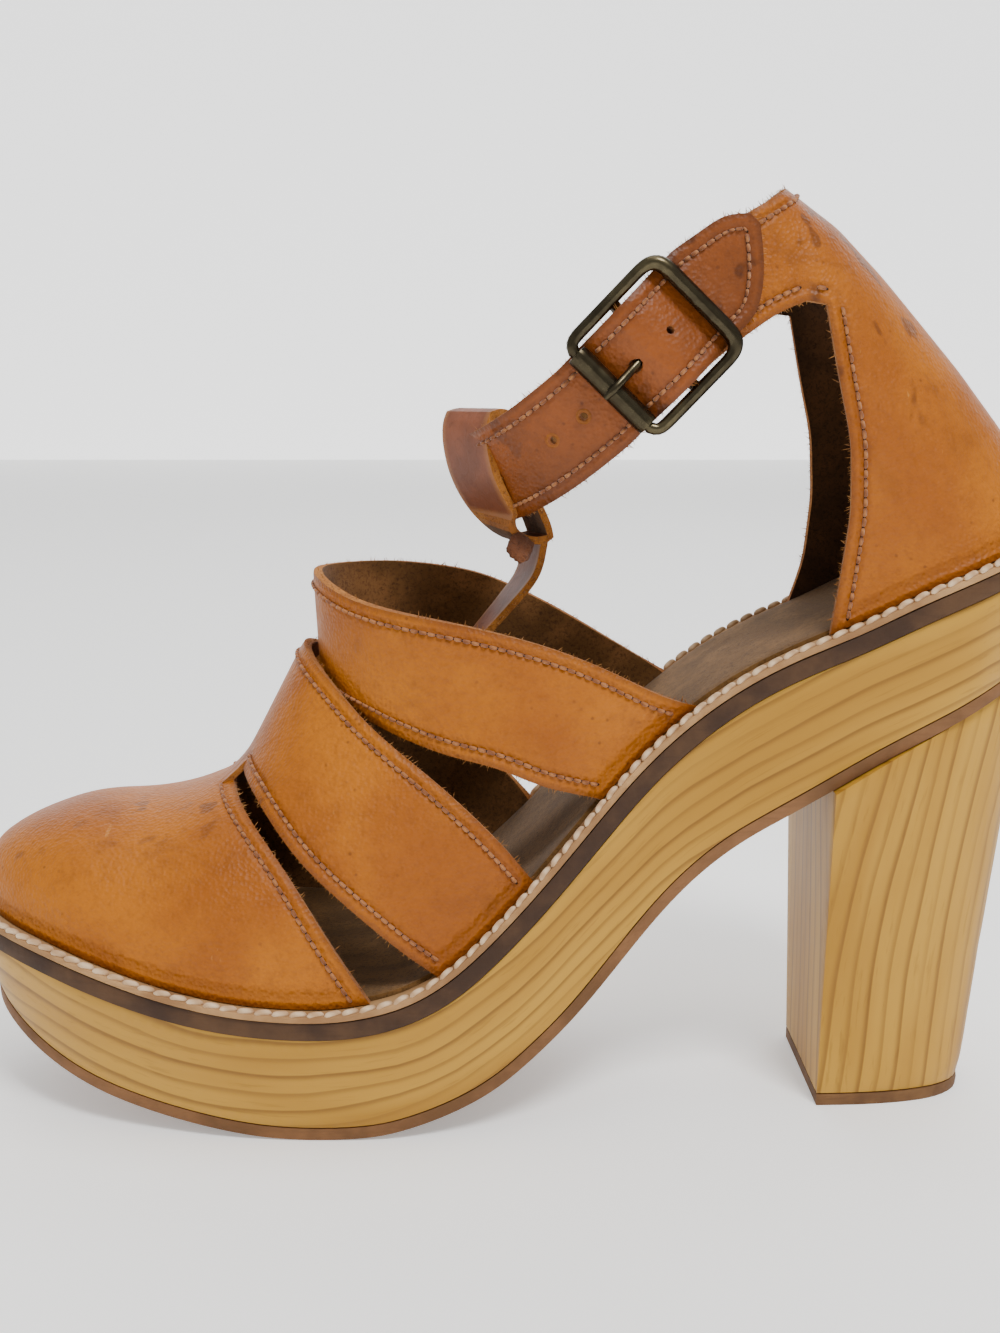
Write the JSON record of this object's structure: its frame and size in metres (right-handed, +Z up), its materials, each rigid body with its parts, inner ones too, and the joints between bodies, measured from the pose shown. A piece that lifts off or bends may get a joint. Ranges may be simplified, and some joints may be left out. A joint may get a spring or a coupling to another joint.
{
  "type": "wooden sole sandal",
  "caption": "Left high-heeled sandal with a wooden platform and block heel, a closed toe cap, slit foot straps, a heel counter and a buckled ankle strap.",
  "frame": {"origin": "centre of the shoe's outline on the floor, under the sole", "axes": "+X from the toe to the heel along the shoe's length, +Y to the inner side of the left foot, +Z up"},
  "size_m": [0.242, 0.0884, 0.1983],
  "materials": {
    "tan_leather": "waxed pull-up leather, soft low gloss",
    "mauve_leather": "smooth thin leather band",
    "insole_suede": "taupe suede, matt",
    "pine": "pale pine with brown grain, satin",
    "brown_board": "dark brown layer edge",
    "welt_leather": "cream-pink welt with stitches",
    "outsole_leather": "mid brown, matt",
    "antique_brass": "antique brass, polished on its high edges"
  },
  "bodies": {
    "root": {"outsole": "outsole_leather", "wooden_platform": "pine", "midsole": "brown_board", "welt": "welt_leather", "insole": "insole_suede", "heel_block": "pine", "top_lift": "outsole_leather", "upper": "tan_leather", "heel_counter": "tan_leather", "ankle_strap": "tan_leather", "instep_tab": "mauve_leather", "buckle_frame": "antique_brass", "buckle_roller": "antique_brass", "buckle_prong": "antique_brass", "buckle_chape": "tan_leather"}
  },
  "joints": []
}
